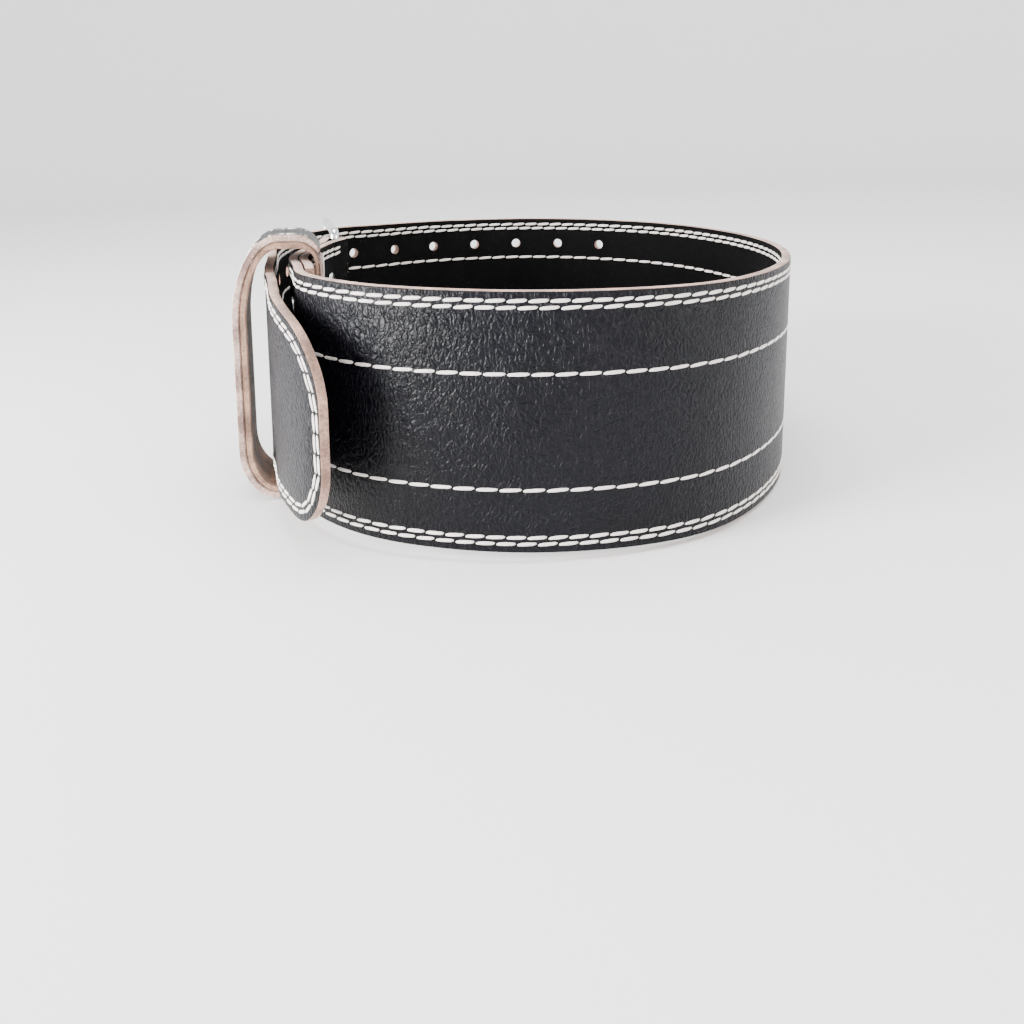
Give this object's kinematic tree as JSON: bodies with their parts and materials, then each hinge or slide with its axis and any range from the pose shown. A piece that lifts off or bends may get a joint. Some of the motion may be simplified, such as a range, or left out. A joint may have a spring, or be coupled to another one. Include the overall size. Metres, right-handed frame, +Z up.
{
  "type": "lifting belt",
  "caption": "Wide leather lifting belt, fastened in a loop and standing on its edge, with a double-prong roller buckle and a leather keeper.",
  "frame": {"origin": "middle of the underside of the whole belt's box", "axes": "+Z up; the camera side, the front of the loop, is -Y; buckle, keeper and tongue are on the -X side"},
  "size_m": [0.2682, 0.296, 0.1218],
  "materials": {
    "black_leather": "pebbled black leather, both sides, raw pinkish tan edges",
    "keeper_leather": "two plies, black outside and raw tan inside and on the edges",
    "steel": "polished plating"
  },
  "bodies": {
    "root": {"belt_strap": "black_leather", "keeper_loop": "keeper_leather", "buckle_frame": "steel", "buckle_roller": "steel", "prong_lower": "steel", "prong_upper": "steel", "rivet_1": "steel", "rivet_2": "steel", "rivet_3": "steel", "rivet_4": "steel", "rivet_5": "steel", "rivet_6": "steel"}
  },
  "joints": []
}
